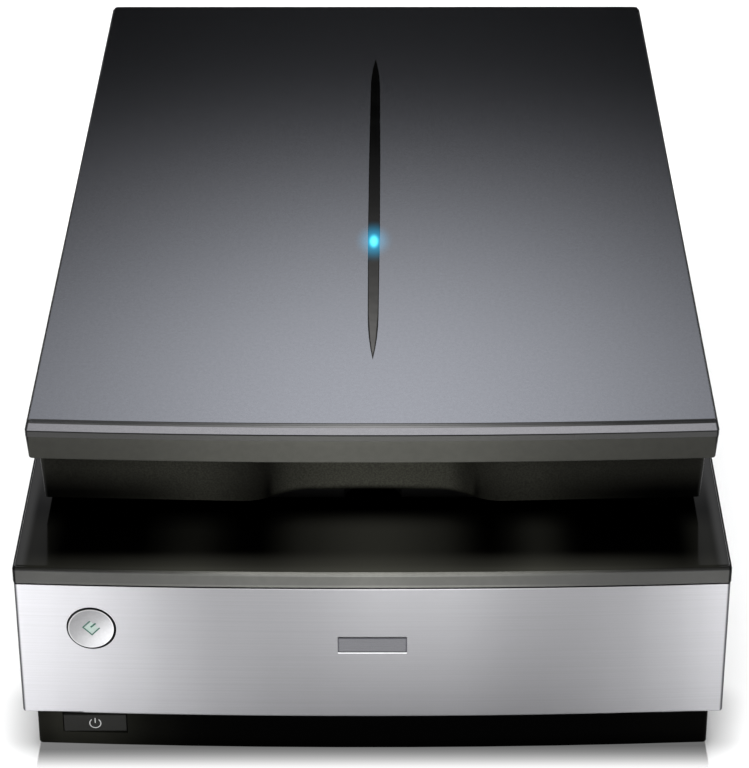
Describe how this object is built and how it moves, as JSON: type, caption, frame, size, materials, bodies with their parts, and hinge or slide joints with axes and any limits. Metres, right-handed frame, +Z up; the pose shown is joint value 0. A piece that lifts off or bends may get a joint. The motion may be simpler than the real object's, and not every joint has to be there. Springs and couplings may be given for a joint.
{
  "type": "flatbed scanner",
  "caption": "Desktop flatbed photo scanner standing lengthways, hinged film-scanning lid, glass bed, moving carriage and bowed silver front",
  "frame": {"origin": "on the desk under the middle of the scanner's bounding box", "axes": "+X to the user's right, +Y from the front panel to the hinge, +Z up"},
  "size_m": [0.308, 0.503, 0.152],
  "materials": {
    "case_black": "high-gloss piano black moulding",
    "band_grey": "satin dark grey band, gloss black deck",
    "glass": "clear float glass",
    "white_paint": "white calibration paint",
    "silver_face": "horizontally brushed, clear-coated",
    "badge": "satin",
    "rubber": "matte",
    "screw_steel": "zinc-plated",
    "spring_steel": "drawn wire",
    "circuit_board": "solder-mask green",
    "rod_steel": "ground and polished",
    "sheet_steel": "zinc-coated sheet",
    "belt_rubber": "toothed polyurethane belt",
    "motor_steel": "black stepper motor can",
    "inner_black": "matte black moulding",
    "natural_plastic": "natural acetal",
    "button_silver": "satin silver paint",
    "power_grey": "dark grey gloss key",
    "socket_black": "black insulating plastic",
    "mirror": "front-surface mirror",
    "lamp_white": "white LED light bar",
    "lens_black": "black anodised barrel",
    "post_plastic": "glass-filled black plastic",
    "lid_top": "metallic grey with fine flake",
    "lid_face": "satin grey",
    "lid_shell": "fine spark-grained black",
    "smoked": "smoked translucent strip",
    "led_blue": "blue indicator lens",
    "opal": "opal acrylic diffuser",
    "mat_white": "white foam-backed mat"
  },
  "bodies": {
    "base": {"lower_case": "case_black", "upper_case": "band_grey", "document_glass": "glass", "calibration_strip": "white_paint", "front_panel": "silver_face", "front_badge": "badge", "rubber_feet": "rubber", "case_screws": "screw_steel", "start_spring": "spring_steel", "button_board": "circuit_board", "guide_rod": "rod_steel", "support_rail": "sheet_steel", "timing_belt": "belt_rubber", "drive_motor": "motor_steel", "drive_bracket": "sheet_steel", "drive_studs": "rod_steel", "tension_bracket": "sheet_steel", "tension_spring": "spring_steel", "main_board": "circuit_board", "power_supply": "circuit_board", "ac_inlet": "socket_black", "usb_socket": "sheet_steel", "lid_cable_socket": "socket_black", "hinge_sockets": "inner_black"},
    "start_key": {"start_button": "button_silver"},
    "power_key": {"power_button": "power_grey"},
    "lock_lever": {"transport_lock": "inner_black"},
    "gear": {"drive_gear": "natural_plastic"},
    "pinion": {"motor_pinion": "natural_plastic"},
    "idler": {"idler_pulley": "natural_plastic"},
    "carriage": {"carriage_frame": "inner_black", "carriage_cover": "inner_black", "scan_lamps": "lamp_white", "carriage_mirrors": "mirror", "ccd_board": "circuit_board", "carriage_bushes": "natural_plastic", "slider_shoe": "natural_plastic", "belt_clamp": "inner_black"},
    "lens_carrier": {"lens_slide": "inner_black", "lens_barrels": "lens_black"},
    "hinge_mount": {"hinge_posts": "post_plastic", "hinge_pins": "rod_steel", "hinge_springs": "spring_steel"},
    "lid": {"lid_inner_shell": "lid_shell", "lid_side_frame": "lid_face", "lid_top_panel": "lid_top", "slit_window": "smoked", "status_led": "led_blue", "film_diffuser": "opal", "mat_rails": "lid_shell", "lid_bumpers": "rubber", "lid_board": "circuit_board", "hinge_brackets": "sheet_steel", "film_guide_rod": "rod_steel", "film_motor": "motor_steel", "film_belt": "belt_rubber"},
    "film_lamp_unit": {"film_lamp": "inner_black"},
    "film_pulley_rear": {"film_drive_pulley": "natural_plastic"},
    "film_pulley_front": {"film_idler_pulley": "natural_plastic"},
    "mat": {"document_mat": "mat_white"}
  },
  "joints": [
    {"name": "lid_lift", "type": "slide", "parent": "base", "child": "hinge_mount", "axis": [0, 0, 1], "range_m": [0, 0.05]},
    {"name": "lid_hinge", "type": "hinge", "parent": "hinge_mount", "child": "lid", "pos_m": [0, 0.236, 0.116], "axis": [-1, 0, 0], "range_deg": [0, 80]},
    {"name": "mat_slide", "type": "slide", "parent": "lid", "child": "mat", "axis": [0, -1, 0], "range_m": [0, 0.32]},
    {"name": "film_lamp_slide", "type": "slide", "parent": "lid", "child": "film_lamp_unit", "axis": [0, -1, 0], "range_m": [0, 0.25]},
    {"name": "film_pulley_rear_spin", "type": "hinge", "parent": "lid", "child": "film_pulley_rear", "pos_m": [0.129, 0.156, 0.1185], "axis": [0, 0, 1], "range_deg": [-2819, 10]},
    {"name": "film_pulley_front_spin", "type": "hinge", "parent": "lid", "child": "film_pulley_front", "pos_m": [0.129, -0.176, 0.1185], "axis": [0, 0, 1], "range_deg": [-2819, 10]},
    {"name": "carriage_slide", "type": "slide", "parent": "base", "child": "carriage", "axis": [0, -1, 0], "range_m": [0, 0.3]},
    {"name": "drive_gear_spin", "type": "hinge", "parent": "base", "child": "gear", "pos_m": [-0.098, 0.212, 0.022], "axis": [0, 0, 1], "range_deg": [-2466, 10]},
    {"name": "motor_pinion_spin", "type": "hinge", "parent": "base", "child": "pinion", "pos_m": [-0.08145, 0.19812, 0.03], "axis": [0, 0, 1], "range_deg": [-10, 7026]},
    {"name": "idler_spin", "type": "hinge", "parent": "base", "child": "idler", "pos_m": [-0.098, -0.228, 0.022], "axis": [0, 0, 1], "range_deg": [-2466, 10]},
    {"name": "lens_shift", "type": "slide", "parent": "carriage", "child": "lens_carrier", "axis": [-1, 0, 0], "range_m": [0, 0.034]},
    {"name": "start_press", "type": "slide", "parent": "base", "child": "start_key", "axis": [0, 1, 0], "range_m": [0, 0.0012], "stiffness_N_per_m": 1200, "springref_m": -0.0006, "deforming": ["start_spring"]},
    {"name": "power_press", "type": "slide", "parent": "base", "child": "power_key", "axis": [0, 1, 0], "range_m": [0, 0.001], "stiffness_N_per_m": 1500, "springref_m": -0.0006},
    {"name": "lock_slide", "type": "slide", "parent": "base", "child": "lock_lever", "axis": [1, 0, 0], "range_m": [0, 0.008]}
  ],
  "couplings": [
    {"joint": "drive_gear_spin", "follows": "carriage_slide", "rad_per_m": -142.86},
    {"joint": "idler_spin", "follows": "carriage_slide", "rad_per_m": -142.86},
    {"joint": "motor_pinion_spin", "follows": "carriage_slide", "rad_per_m": 408.16},
    {"joint": "film_pulley_rear_spin", "follows": "film_lamp_slide", "rad_per_m": -196.08},
    {"joint": "film_pulley_front_spin", "follows": "film_lamp_slide", "rad_per_m": -196.08}
  ]
}
